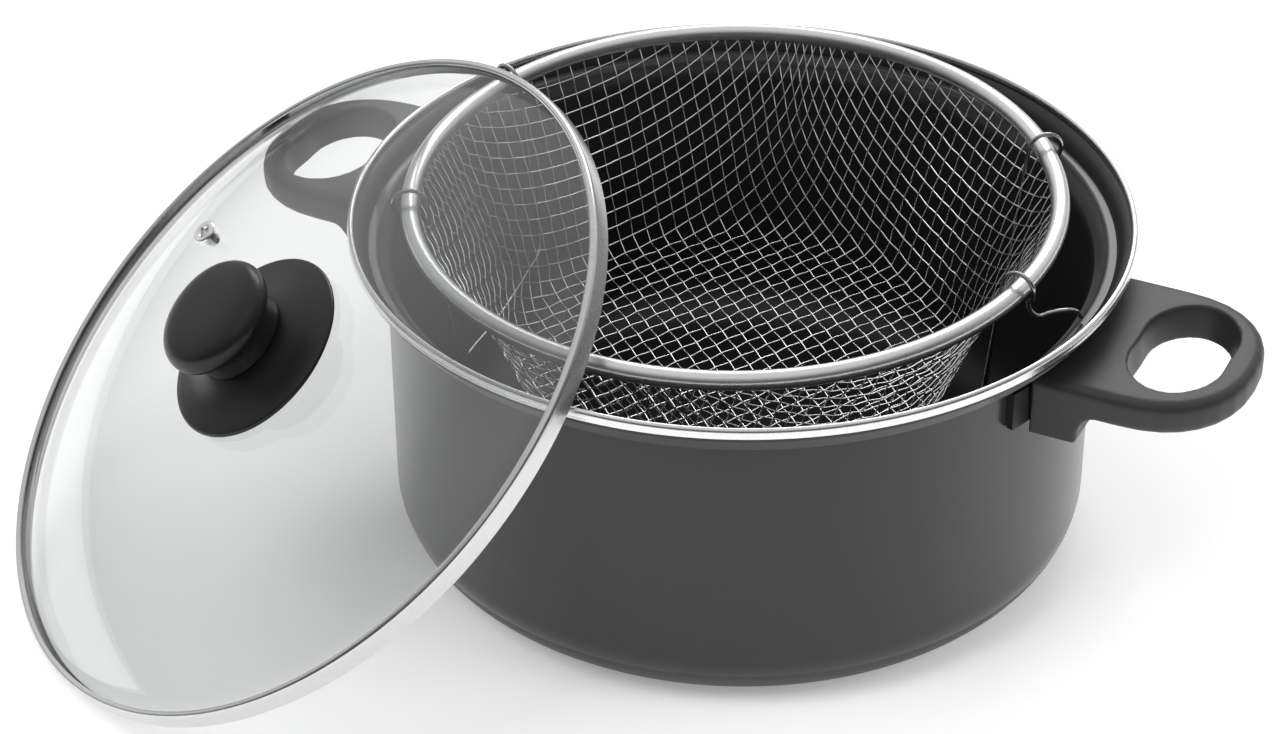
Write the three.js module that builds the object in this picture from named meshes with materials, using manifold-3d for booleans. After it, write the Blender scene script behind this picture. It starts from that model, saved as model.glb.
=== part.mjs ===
// Deep frying pot with a wire basket in its mouth and a glass lid leaning on its rim.
// Millimetres, +Z up. The origin is the centre of the pot's base, on the surface that it stands on.
import * as THREE from 'three';
import { mergeVertices } from 'three/addons/utils/BufferGeometryUtils.js';
import Module from 'manifold-3d';

const wasm = await Module();
wasm.setup();

// Clearances shared by all pieces
const seatGap = 0.3;
const slipGap = 0.5;
const cutOverrun = 2;

// Pot shell
const potHeight = 114.5;
const bodyRadius = 114;
const potWall = 2.2;
const baseThickness = 4.5;
const baseCorner = 20;
const ledgeOverhang = 5.4;
const rimWidth = 6.4;
const ledgeDrop = 8.3;
const ledgeFillet = 4.6;
const flareFillet = 4;
const lipWall = 0.7;
const recessShares = [0.26, 0.86];

// Stainless bead closed over the pot's edge
const trimWall = 0.5;
const trimCrown = 1.5;
const trimRoofDepth = 1;
const trimInnerDepth = 2.2;
const trimOuterDepth = 3.4;

// Lid
const lidSeatClearance = 1;
const bandHeight = 7;
const bandWall = 0.8;
const bandLip = 3.4;
const glassThickness = 3.5;
const glassFlat = 3.4;
const domeRise = 16;
const domePower = 3;
const lidLean = 39.6;
const lidLeanAzimuth = 204.5;
const lidBearing = 197.4;
const standGap = 0.3;

// Steam vent in the glass
const ventBore = 1.9;
const ventShank = 2.9;
const ventFlange = 4.4;
const ventFlangeThickness = 0.7;
const ventInset = 43.2;
const ventAngle = 264.9;

// Knob and its fixings
const gasketThickness = 0.8;
const gasketRadius = 13;
const skirtRadius = 31.8;
const skirtEdge = 2;
const skirtHeight = 6;
const neckRadius = 15.2;
const neckHeight = 7.6;
const capRadius = 19.7;
const capHeight = 10;
const capRound = 4.4;
const capSideAngle = 60;
const capCrownShares = [[0.6, 0.92], [0.3, 0.99]];
const insertRadius = 5;
const insertBore = 2.4;
const insertLength = 12;
const knobScrewRadius = 2;
const knobScrewBite = 9;
const screwHeadRadius = 4.2;
const screwHeadHeight = 2.6;
const washerRadius = 7.5;
const washerThickness = 1.2;

// Handles, on a line through the pot's axis
const handleRightAzimuth = -26.4;
const handleLeftAzimuth = 153.6;
const gripLength = 58;
const handleHalfWidth = 34.5;
const handleDrop = 12.4;
const handleThickness = 11.2;
const handleRound = 3.4;
const gripPower = 2.3;
const gripSideBar = 10.9;
const gripEndBar = 12;
const palmDepth = 18;
const blockDepth = 13;
const blockInset = 0.5;
const blockHeight = 20.5;
const blockFillet = 8;

// Steel bracket on the pot wall under each handle, and its screw
const bracketThickness = 2.4;
const bracketHalfAngle = 20.5;
const bracketHeight = 13;
const tongueReach = 10;
const tongueHalfWidth = 12;
const tongueThickness = 3;
const tongueHeightShare = 0.38;
const handleScrewShare = 0.62;
const handleScrewRadius = 2;
const handleScrewHead = 4;
const handleScrewHeadHeight = 2.4;
const handleScrewLength = 15;
const screwFlatShare = 0.65;

// Basket
const basketMargin = 8.6;
const basketTubeRadius = 3.05;
const basketRise = 4.9;
const basketShiftX = -2.4;
const basketShiftY = 0.1;
const basketLean = 1.7;
const basketLeanAzimuth = 62;
const bowlMouthInset = 2.6;
const bowlDepth = 60;
const bowlTaper = 27.6;
const bowlCorner = 6;
const bowlWall = 1.2;
const bowlBulgeIn = 14.9;
const bowlBulgeDown = 23.5;

// Openings of the basket's cloth, as a plain grid
const clothBar = 2.6;
const clothTopBand = 4;
const clothFootBand = 2;
const clothColumns = 24;
const clothRows = 3;
const clothColumnAzimuth = 6.4;
const clothFloorCells = 8;
const clothFloorAzimuth = 29.5;

// Folding wire handles of the basket
const bailRightAzimuth = -11.5;
const bailLeftAzimuth = 159.3;
const bailHalfSpreadAngle = 23.5;
const bailWireRadius = 0.95;
const eyeRadius = 5.4;
const eyeLift = 1;
const bailDrop = 62;
const bailLean = 6.8;
const bailCorner = 12;
const tailSweepAngle = 6.2;
const tailSeatInset = 2.4;
const tailShares = [[0.91, 0.92, 0.8], [0.76, 0.63, 0.64], [0.53, 0.4, 0.68], [0.4, 0.15, 0.66]];
const eyeTailAngle = -45;
const eyeLegAngle = 180;
const eyeCurlAngle = -110;
const eyeStepAngle = 22.5;
const kneeShares = [0.3, 0.7, 1];
const eyeSlotHalfWidth = 3.4;
const eyeSlotDepth = 15;

// Facet counts
const ringSegments = 48;
const knobSegments = 24;
const boreSegments = 12;
const cornerSteps = 4;
const domeSteps = 6;
const wireSides = 6;
const bailSteps = 84;
const tubeSides = 8;

// Derived places
const degrees = THREE.MathUtils.degToRad;
const potInner = bodyRadius - potWall;
const ledgeHeight = potHeight - ledgeDrop;
const ledgeOuter = bodyRadius + ledgeOverhang;
const lidRadius = ledgeOuter - lidSeatClearance;
const rimRadius = ledgeOuter + rimWidth;
const lipOuter = rimRadius - trimWall - seatGap;
const lipInner = lipOuter - lipWall;
const lipTop = potHeight - trimRoofDepth - seatGap;
const trimInner = lipInner - seatGap - trimWall;

// Closed body from a three.js geometry: shared corners are joined and flat slivers dropped
function closedBody(geometry) {
  const plain = geometry.clone();
  plain.deleteAttribute('normal');
  plain.deleteAttribute('uv');
  const merged = mergeVertices(plain);
  const corners = merged.index.array;
  const kept = [];
  for (let i = 0; i < corners.length; i += 3) {
    const [a, b, c] = corners.slice(i, i + 3);
    if (a !== b && b !== c && c !== a) kept.push(a, b, c);
  }
  merged.setIndex(kept);
  return merged;
}

function manifoldOf(geometry) {
  const body = closedBody(geometry);
  const vertProperties = new Float32Array(body.attributes.position.array);
  const triVerts = new Uint32Array(body.index.array);
  return new wasm.Manifold(new wasm.Mesh({ numProp: 3, vertProperties, triVerts }));
}

function geometryOf(solid) {
  const mesh = solid.getMesh();
  const geometry = new THREE.BufferGeometry();
  geometry.setAttribute('position', new THREE.BufferAttribute(mesh.vertProperties, 3));
  geometry.setIndex(Array.from(mesh.triVerts));
  geometry.computeVertexNormals();
  return geometry;
}

function cut(geometry, cutters) {
  let solid = manifoldOf(geometry);
  for (const cutter of cutters) solid = solid.subtract(manifoldOf(cutter));
  return geometryOf(solid);
}

// Ring or disc about Z from a profile of [radius, height], outside edge rising
function turned(profile, segments) {
  const points = profile.map(([radius, height]) => new THREE.Vector2(Math.max(radius, 0), height));
  const geometry = new THREE.LatheGeometry(points, segments);
  geometry.rotateX(Math.PI / 2);
  return closedBody(geometry);
}

// Points of an arc in the profile plane, both ends included
function arc(centre, radius, from, to, steps) {
  const points = [];
  for (let i = 0; i <= steps; i += 1) {
    const angle = degrees(from + (to - from) * i / steps);
    points.push([centre[0] + radius * Math.cos(angle), centre[1] + radius * Math.sin(angle)]);
  }
  return points;
}

// Round bar or cutter that stands on z = low
function post(radius, low, high, segments) {
  const geometry = new THREE.CylinderGeometry(radius, radius, high - low, segments);
  geometry.rotateX(Math.PI / 2);
  geometry.translate(0, 0, (high + low) / 2);
  return geometry;
}

function block(size, centre) {
  const geometry = new THREE.BoxGeometry(size.x, size.y, size.z);
  geometry.translate(centre.x, centre.y, centre.z);
  return geometry;
}

// One unbroken wire along a curve
function wire(curve, radius, steps) {
  const section = [];
  for (let i = 0; i < wireSides; i += 1) {
    const angle = 2 * Math.PI * i / wireSides;
    section.push(new THREE.Vector2(radius * Math.cos(angle), radius * Math.sin(angle)));
  }
  const shape = new THREE.Shape(section);
  const options = { steps, bevelEnabled: false, extrudePath: curve };
  return closedBody(new THREE.ExtrudeGeometry(shape, options));
}

// Thin sheet: the outer profile and the same line moved inwards by the sheet's thickness
function sheetProfile(outer, thickness) {
  const inner = outer.map(([radius, height], i) => {
    const before = outer[Math.max(i - 1, 0)];
    const after = outer[Math.min(i + 1, outer.length - 1)];
    const along = new THREE.Vector2(after[0] - before[0], after[1] - before[1]).normalize();
    const onAxis = radius < thickness;
    return onAxis ? [0, height + thickness] : [radius - along.y * thickness, height + along.x * thickness];
  });
  return [...outer, ...inner.reverse()];
}

// Pot shell: base, wall, ledge for the lid, and the lip that the bead closes over
function potBodyGeometry() {
  const underLedge = ledgeHeight - potWall;
  const innerCorner = baseCorner - potWall;
  const recessTop = potHeight - trimInnerDepth - seatGap;
  const [bendOut, bendUp] = recessShares;
  const recess = new THREE.QuadraticBezierCurve(
    new THREE.Vector2(lipInner, recessTop),
    new THREE.Vector2(
      ledgeOuter + (lipInner - ledgeOuter) * bendOut,
      ledgeHeight + (recessTop - ledgeHeight) * bendUp,
    ),
    new THREE.Vector2(ledgeOuter, ledgeHeight),
  );
  const profile = [
    [0, 0],
    ...arc([bodyRadius - baseCorner, baseCorner], baseCorner, -90, 0, cornerSteps + 1),
    ...arc([bodyRadius + flareFillet, underLedge - flareFillet], flareFillet, 180, 90, cornerSteps - 1),
    [ledgeOuter + potWall / 2, underLedge],
    [lipOuter, recessTop - potWall],
    [lipOuter, lipTop],
    [lipInner, lipTop],
    ...recess.getPoints(cornerSteps - 1).map((point) => [point.x, point.y]),
    ...arc([potInner + ledgeFillet, ledgeHeight - ledgeFillet], ledgeFillet, 90, 180, cornerSteps - 1),
    ...arc([potInner - innerCorner, baseThickness + innerCorner], innerCorner, 0, -90, cornerSteps + 1),
    [0, baseThickness],
  ];
  return turned(profile, ringSegments);
}

// Points of the bead's rounded crown, from its outer side over the top to its inner side
function trimCrownPoints(steps) {
  const middle = (rimRadius + trimInner) / 2;
  const points = [];
  for (let i = 0; i <= steps; i += 1) {
    const angle = Math.PI * i / steps;
    const radius = middle + (rimRadius - middle) * Math.cos(angle);
    points.push([radius, potHeight - trimCrown + trimCrown * Math.sin(angle)]);
  }
  return points;
}

// Bead with a channel underneath that straddles the pot's lip
function rimTrimGeometry() {
  const innerLeg = trimInner + trimWall;
  const outerLeg = rimRadius - trimWall;
  const roof = potHeight - trimRoofDepth;
  const profile = [
    [outerLeg, potHeight - trimOuterDepth],
    [rimRadius - trimWall / 2, potHeight - trimOuterDepth],
    [rimRadius, potHeight - trimOuterDepth + trimWall / 2],
    ...trimCrownPoints(cornerSteps * 2),
    [trimInner, potHeight - trimInnerDepth],
    [innerLeg, potHeight - trimInnerDepth],
    [innerLeg, roof],
    [outerLeg, roof],
    [outerLeg, potHeight - trimOuterDepth],
  ];
  return turned(profile, ringSegments);
}

// Handle: a flat loop with rounded edges joined to a deeper block at the wall
const handleAzimuths = { right: handleRightAzimuth, left: handleLeftAzimuth };
const handleReach = bodyRadius + gripLength;
const fingerHalfWidth = handleHalfWidth - gripSideBar;
const fingerHalfLength = (gripLength - palmDepth - gripEndBar) / 2;
const fingerCentre = handleReach - gripEndBar - fingerHalfLength;
const blockHalfWidth = handleHalfWidth - blockInset;
const blockReach = bodyRadius + blockDepth;
const handleTop = potHeight - handleDrop;
const handleBottom = handleTop - handleThickness;
const blockBottom = handleTop - blockHeight;
const blockBack = bodyRadius + seatGap + bracketThickness + seatGap;
const tongueTop = handleBottom + handleThickness * tongueHeightShare;
const tongueBottom = tongueTop - tongueThickness;
const handleScrewPlace = bodyRadius + bracketThickness + tongueReach * handleScrewShare;

// Oval outline of the grip: straight sides from the wall, then a rounded end
function gripOutline(inset) {
  const half = handleHalfWidth - inset;
  const shoulder = fingerCentre - fingerHalfLength / 2;
  const reach = handleReach - inset - shoulder;
  const points = [new THREE.Vector2(bodyRadius * Math.cos(degrees(bracketHalfAngle)), -half)];
  for (let i = 0; i <= ringSegments / 3; i += 1) {
    const angle = -Math.PI / 2 + Math.PI * i / (ringSegments / 3);
    const roundness = 2 / gripPower;
    const x = shoulder + reach * Math.cos(angle) ** roundness;
    const y = half * Math.sign(Math.sin(angle)) * Math.abs(Math.sin(angle)) ** roundness;
    points.push(new THREE.Vector2(x, y));
  }
  points.push(new THREE.Vector2(points[0].x, half));
  return points;
}

// Egg-shaped finger hole
function fingerOutline(grow) {
  const points = [];
  for (let i = 0; i < ringSegments / 2; i += 1) {
    const angle = 2 * Math.PI * i / (ringSegments / 2);
    const x = fingerCentre + (fingerHalfLength + grow) * Math.cos(angle);
    points.push(new THREE.Vector2(x, (fingerHalfWidth + grow) * Math.sin(angle)));
  }
  return points;
}

function gripGeometry() {
  const shape = new THREE.Shape(gripOutline(handleRound));
  shape.holes.push(new THREE.Path(fingerOutline(handleRound)));
  const options = {
    depth: handleThickness - 2 * handleRound,
    bevelEnabled: true,
    bevelSize: handleRound,
    bevelThickness: handleRound,
    bevelSegments: cornerSteps - 1,
    steps: 1,
  };
  const geometry = new THREE.ExtrudeGeometry(shape, options);
  geometry.translate(0, 0, handleBottom + handleRound);
  return geometry;
}

// Deep block at the wall: its side outline, with the hollow curve up to the grip
function blockGeometry() {
  const back = bodyRadius * Math.cos(degrees(bracketHalfAngle));
  const top = handleTop - handleRound;
  const middle = [blockReach + blockFillet, handleBottom - blockFillet];
  const hollow = arc(middle, blockFillet, 180, 90, cornerSteps);
  const points = [
    [back, top],
    [back, blockBottom],
    [blockReach, blockBottom],
    ...hollow.map(([x, z]) => [x, z + handleRound / 2]),
    [hollow[hollow.length - 1][0], top],
  ];
  const shape = new THREE.Shape(points.map(([x, z]) => new THREE.Vector2(x, z)));
  const geometry = new THREE.ExtrudeGeometry(shape, { depth: 2 * blockHalfWidth, bevelEnabled: false });
  geometry.rotateX(Math.PI / 2);
  geometry.translate(0, blockHalfWidth, 0);
  return geometry;
}

function handleGeometry() {
  let solid = manifoldOf(gripGeometry()).add(manifoldOf(blockGeometry()));
  const wallSide = post(blockBack, blockBottom - cutOverrun, handleTop + cutOverrun, ringSegments * 2);
  solid = solid.subtract(manifoldOf(wallSide));
  const pocketDepth = bodyRadius + bracketThickness + tongueReach + slipGap;
  const pocket = block(
    new THREE.Vector3(pocketDepth, 2 * (tongueHalfWidth + slipGap), tongueThickness + 2 * seatGap),
    new THREE.Vector3(pocketDepth / 2, 0, (tongueTop + tongueBottom) / 2),
  );
  solid = solid.subtract(manifoldOf(pocket));
  const screwHole = post(handleScrewRadius + seatGap, blockBottom - cutOverrun, tongueTop, boreSegments);
  const sunk = post(
    handleScrewHead + seatGap,
    blockBottom - cutOverrun,
    tongueBottom - handleScrewLength / 4,
    boreSegments,
  );
  for (const cutter of [screwHole, sunk]) {
    cutter.translate(handleScrewPlace, 0, 0);
    solid = solid.subtract(manifoldOf(cutter));
  }
  return geometryOf(solid);
}

// Bracket: a plate curved to the wall with a tongue that goes into the handle's block
function bracketGeometry() {
  const inner = bodyRadius + seatGap;
  const outer = inner + bracketThickness;
  const top = handleTop - handleRound;
  const low = top - bracketHeight;
  const shape = new THREE.Shape();
  const half = degrees(bracketHalfAngle);
  shape.absarc(0, 0, outer, -half, half, false);
  shape.absarc(0, 0, inner, half, -half, true);
  const options = { depth: bracketHeight, bevelEnabled: false, curveSegments: cornerSteps * 3 };
  const plate = new THREE.ExtrudeGeometry(shape, options);
  plate.translate(0, 0, low);
  const tongue = block(
    new THREE.Vector3(tongueReach + bracketThickness / 2, 2 * tongueHalfWidth, tongueThickness),
    new THREE.Vector3(outer + (tongueReach - bracketThickness / 2) / 2, 0, (tongueTop + tongueBottom) / 2),
  );
  const bore = handleScrewRadius + seatGap;
  const hole = post(bore, tongueBottom - cutOverrun, tongueTop + cutOverrun, boreSegments);
  hole.translate(handleScrewPlace, 0, 0);
  return geometryOf(manifoldOf(plate).add(manifoldOf(tongue)).subtract(manifoldOf(hole)));
}

// Pan-head screw, from the block's underside up through the tongue
function handleScrewGeometry() {
  const seat = tongueBottom - handleScrewLength / 4 - seatGap;
  const tip = tongueTop - seatGap;
  const profile = [
    [0, seat - handleScrewHeadHeight],
    [handleScrewHead * screwFlatShare, seat - handleScrewHeadHeight],
    [handleScrewHead, seat - handleScrewHeadHeight / 2],
    [handleScrewHead, seat],
    [handleScrewRadius, seat],
    [handleScrewRadius, tip],
    [0, tip],
  ];
  const geometry = turned(profile, boreSegments);
  geometry.translate(handleScrewPlace, 0, 0);
  return geometry;
}

// Lid glass: a shallow dome with a flat border that the band grips
const glassEdge = lidRadius - bandWall - seatGap;
const domeRadius = glassEdge - glassFlat;
const glassTop = -bandWall - seatGap;

const ventRadius = domeRadius - ventInset;
const ventPlace = new THREE.Vector2(
  ventRadius * Math.cos(degrees(ventAngle)),
  ventRadius * Math.sin(degrees(ventAngle)),
);

// Height of the glass's upper face: nearly flat on top, steeper towards the band
function domeAt(radius) {
  return glassTop + (domeRise - glassTop) * (1 - (radius / domeRadius) ** domePower);
}

function domeCurve(drop, rising) {
  const points = [];
  for (let i = 0; i <= domeSteps; i += 1) {
    const radius = domeRadius * (rising ? i : domeSteps - i) / domeSteps;
    points.push([radius, domeAt(radius) - drop]);
  }
  return points;
}

function lidGlassGeometry() {
  const profile = [
    ...domeCurve(glassThickness, true),
    [glassEdge, glassTop - glassThickness],
    [glassEdge, glassTop],
    ...domeCurve(0, false),
  ];
  const low = glassTop - bandHeight;
  const screwHole = post(knobScrewRadius + slipGap, low, domeRise + cutOverrun, boreSegments);
  const ventHole = post(ventShank + seatGap, low, domeRise + cutOverrun, boreSegments);
  ventHole.translate(ventPlace.x, ventPlace.y, 0);
  return cut(turned(profile, ringSegments), [screwHole, ventHole]);
}

// Stainless band: a channel open inwards, rolled over both faces of the glass
function lidBandGeometry() {
  const lipRadius = lidRadius - bandLip;
  const lowLip = glassTop - glassThickness - seatGap;
  const profile = [
    [lipRadius, lowLip - bandWall],
    [lidRadius - 2 * bandWall, lowLip - bandWall],
    [lidRadius - bandWall, -bandHeight],
    [lidRadius, -bandHeight],
    ...arc([lidRadius - bandWall, -bandWall], bandWall, 0, 90, cornerSteps - 1),
    [lipRadius, 0],
    [lipRadius, -bandWall],
    [lidRadius - bandWall, -bandWall],
    [lidRadius - bandWall, lowLip],
    [lipRadius, lowLip],
    [lipRadius, lowLip - bandWall],
  ];
  return turned(profile, ringSegments);
}

// Eyelet clenched through the glass
function ventEyeletGeometry() {
  const upper = domeAt(ventRadius - ventFlange) + slipGap;
  const lower = domeAt(ventRadius + ventFlange) - glassThickness - slipGap;
  const profile = [
    [ventBore, lower - ventFlangeThickness],
    [ventFlange, lower - ventFlangeThickness],
    [ventFlange, lower],
    [ventShank, lower],
    [ventShank, upper],
    [ventFlange, upper],
    [ventFlange - ventFlangeThickness / 2, upper + ventFlangeThickness],
    [ventBore, upper + ventFlangeThickness],
    [ventBore, lower - ventFlangeThickness],
  ];
  const geometry = turned(profile, boreSegments);
  geometry.translate(ventPlace.x, ventPlace.y, 0);
  return geometry;
}

// Knob stack, from the glass up: gasket, skirt, grip with its threaded insert
const gasketLow = domeRise + seatGap;
const skirtLow = gasketLow + gasketThickness + seatGap;
const skirtTop = skirtLow + skirtHeight;
const gripLow = skirtTop + seatGap;
const capLow = gripLow + neckHeight;

function knobGasketGeometry() {
  const bore = knobScrewRadius + slipGap;
  const profile = [
    [bore, gasketLow],
    [gasketRadius, gasketLow],
    [gasketRadius, gasketLow + gasketThickness],
    [bore, gasketLow + gasketThickness],
    [bore, gasketLow],
  ];
  return turned(profile, knobSegments);
}

function knobSkirtGeometry() {
  const bore = insertRadius + slipGap;
  const edgeLow = domeAt(skirtRadius) + seatGap * 2;
  const edgeTop = edgeLow + skirtEdge;
  const crown = new THREE.QuadraticBezierCurve(
    new THREE.Vector2(skirtRadius, edgeTop),
    new THREE.Vector2(neckRadius + (skirtRadius - neckRadius) / 2, skirtTop - skirtEdge / 2),
    new THREE.Vector2(neckRadius, skirtTop),
  );
  const profile = [
    [bore, skirtLow],
    [gasketRadius + gasketThickness, skirtLow],
    [skirtRadius - skirtEdge / 2, edgeLow],
    [skirtRadius, edgeLow + skirtEdge / 3],
    ...crown.getPoints(cornerSteps + 1).map((point) => [point.x, point.y]),
    [bore, skirtTop],
    [bore, skirtLow],
  ];
  return turned(profile, knobSegments);
}

function knobGripGeometry() {
  const bore = insertRadius + seatGap;
  const boreTop = skirtLow + insertLength + seatGap;
  const capMiddle = [capRadius - capRound, capLow + capRound];
  const under = new THREE.QuadraticBezierCurve(
    new THREE.Vector2(neckRadius, gripLow + neckHeight / 2),
    new THREE.Vector2(neckRadius + (capRadius - neckRadius) / 4, capLow),
    new THREE.Vector2(capRadius - capRound, capLow),
  );
  const profile = [
    [bore, gripLow],
    [neckRadius, gripLow],
    ...under.getPoints(cornerSteps).map((point) => [point.x, point.y]),
    ...arc(capMiddle, capRound, -capSideAngle, capSideAngle, cornerSteps + 1),
    ...capCrownShares.map(([out, up]) => [capRadius * out, capLow + capHeight * up]),
    [0, capLow + capHeight],
    [0, boreTop],
    [bore, boreTop],
    [bore, gripLow],
  ];
  return turned(profile, knobSegments);
}

function knobInsertGeometry() {
  const top = skirtLow + insertLength;
  const profile = [
    [insertBore, skirtLow],
    [insertRadius, skirtLow],
    [insertRadius, top],
    [0, top],
    [0, top - insertBore],
    [insertBore, top - insertBore],
    [insertBore, skirtLow],
  ];
  return turned(profile, boreSegments);
}

// Washer and screw under the glass
const washerTop = domeRise - glassThickness - seatGap * 2;
const washerLow = washerTop - washerThickness;

function knobWasherGeometry() {
  const bore = knobScrewRadius + seatGap;
  const profile = [
    [bore, washerLow],
    [washerRadius, washerLow],
    [washerRadius, washerTop],
    [bore, washerTop],
    [bore, washerLow],
  ];
  return turned(profile, knobSegments);
}

function knobScrewGeometry() {
  const seat = washerLow - seatGap;
  const tip = skirtLow + knobScrewBite;
  const profile = [
    [0, seat - screwHeadHeight],
    [screwHeadRadius * screwFlatShare, seat - screwHeadHeight],
    [screwHeadRadius, seat - screwHeadHeight / 2],
    [screwHeadRadius, seat],
    [knobScrewRadius, seat],
    [knobScrewRadius, tip],
    [0, tip],
  ];
  return turned(profile, boreSegments);
}

// Basket bowl in the basket's own frame: z = 0 is the plane of the rim tube's centre line
const basketRingRadius = potInner - basketMargin;
const bowlMouth = basketRingRadius - bowlMouthInset;
const bowlFloorRadius = bowlMouth - bowlTaper;
const bowlTop = -Math.sqrt((basketTubeRadius + seatGap) ** 2 - bowlMouthInset ** 2);

function bowlOuter() {
  const foot = new THREE.Vector2(bowlFloorRadius + bowlCorner / 4, -bowlDepth + bowlCorner);
  const wall = new THREE.QuadraticBezierCurve(
    foot,
    new THREE.Vector2(bowlMouth - bowlBulgeIn, -bowlBulgeDown),
    new THREE.Vector2(bowlMouth, bowlTop),
  );
  const corner = new THREE.QuadraticBezierCurve(
    new THREE.Vector2(bowlFloorRadius - bowlCorner, -bowlDepth),
    new THREE.Vector2(bowlFloorRadius, -bowlDepth),
    foot,
  );
  return [
    new THREE.Vector2(0, -bowlDepth),
    ...corner.getPoints(cornerSteps),
    ...wall.getPoints(domeSteps).slice(1),
  ].map((point) => [point.x, point.y]);
}

const bailAzimuths = { right: bailRightAzimuth, left: bailLeftAzimuth };

// Angle of each eye of a bail about the basket's axis
function eyeAngles(bail) {
  return [-1, 1].map((side) => degrees(bailAzimuths[bail] + side * bailHalfSpreadAngle));
}

// Wedge about Z that grows wider outwards and leaves half a bar on each side
function wallOpening(azimuth, low, high) {
  const nearRadius = bowlFloorRadius - bowlCorner;
  const farRadius = basketRingRadius;
  const halfWidth = (radius) => radius * Math.tan(Math.PI / clothColumns) - clothBar / 2;
  const wedge = new THREE.Shape([
    new THREE.Vector2(nearRadius, -halfWidth(nearRadius)),
    new THREE.Vector2(farRadius, -halfWidth(farRadius)),
    new THREE.Vector2(farRadius, halfWidth(farRadius)),
    new THREE.Vector2(nearRadius, halfWidth(nearRadius)),
  ]);
  const opening = new THREE.ExtrudeGeometry(wedge, { depth: high - low, bevelEnabled: false });
  opening.translate(0, 0, low);
  opening.rotateZ(azimuth);
  return opening;
}

// Rows of openings round the wall of the bowl
function wallOpenings() {
  const openings = [];
  const top = bowlTop - clothTopBand;
  const step = (top - clothFootBand - (bowlCorner - bowlDepth)) / clothRows;
  for (let row = 0; row < clothRows; row += 1) {
    for (let column = 0; column < clothColumns; column += 1) {
      const azimuth = degrees(clothColumnAzimuth) + 2 * Math.PI * (column + 1 / 2) / clothColumns;
      openings.push(wallOpening(azimuth, top - step * (row + 1) + clothBar, top - step * row));
    }
  }
  return openings;
}

// Square openings in the floor of the bowl, all inside its flat part
function floorOpenings() {
  const openings = [];
  const flat = bowlFloorRadius - bowlCorner;
  const pitch = 2 * flat / clothFloorCells;
  const side = pitch - clothBar;
  for (let i = 0; i < clothFloorCells; i += 1) {
    for (let j = 0; j < clothFloorCells; j += 1) {
      const x = (i + 1 / 2) * pitch - flat;
      const y = (j + 1 / 2) * pitch - flat;
      if (Math.hypot(Math.abs(x) + side / 2, Math.abs(y) + side / 2) > flat + clothBar) continue;
      const size = new THREE.Vector3(side, side, 2 * bowlCorner);
      const opening = block(size, new THREE.Vector3(x, y, -bowlDepth));
      opening.rotateZ(degrees(clothFloorAzimuth));
      openings.push(opening);
    }
  }
  return openings;
}

function basketMeshGeometry() {
  const cutters = [...wallOpenings(), ...floorOpenings()];
  for (const bail of Object.keys(bailAzimuths)) {
    for (const angle of eyeAngles(bail)) {
      const slot = block(
        new THREE.Vector3(2 * eyeRadius + bowlCorner, 2 * eyeSlotHalfWidth, 2 * eyeSlotDepth),
        new THREE.Vector3(bowlMouth - eyeRadius / 2, 0, bowlTop),
      );
      slot.rotateZ(angle);
      cutters.push(slot);
    }
  }
  return cut(turned(sheetProfile(bowlOuter(), bowlWall), ringSegments), cutters);
}

function basketRimGeometry() {
  const section = arc([basketRingRadius, 0], basketTubeRadius, 0, 360, tubeSides);
  section[tubeSides] = section[0];
  return turned(section, ringSegments);
}

// Height in the basket's frame of a point that lies on the pot's ledge
function ledgeInBasket(x, y) {
  const azimuth = degrees(basketLeanAzimuth);
  const lean = degrees(basketLean);
  const climb = (x * Math.cos(azimuth) + y * Math.sin(azimuth)) * Math.sin(lean);
  const target = ledgeHeight + seatGap + bailWireRadius;
  return (target - (potHeight + basketRise) - climb) / Math.cos(lean);
}

// End of a bail's tail, on the middle of the ledge at this angle, in the basket's frame
function tailTip(angle) {
  const radius = ledgeOuter - tailSeatInset;
  const tip = new THREE.Vector3(radius * Math.cos(angle), radius * Math.sin(angle), 0);
  tip.x -= basketShiftX;
  tip.y -= basketShiftY;
  tip.z = ledgeInBasket(tip.x, tip.y);
  return tip;
}

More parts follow.
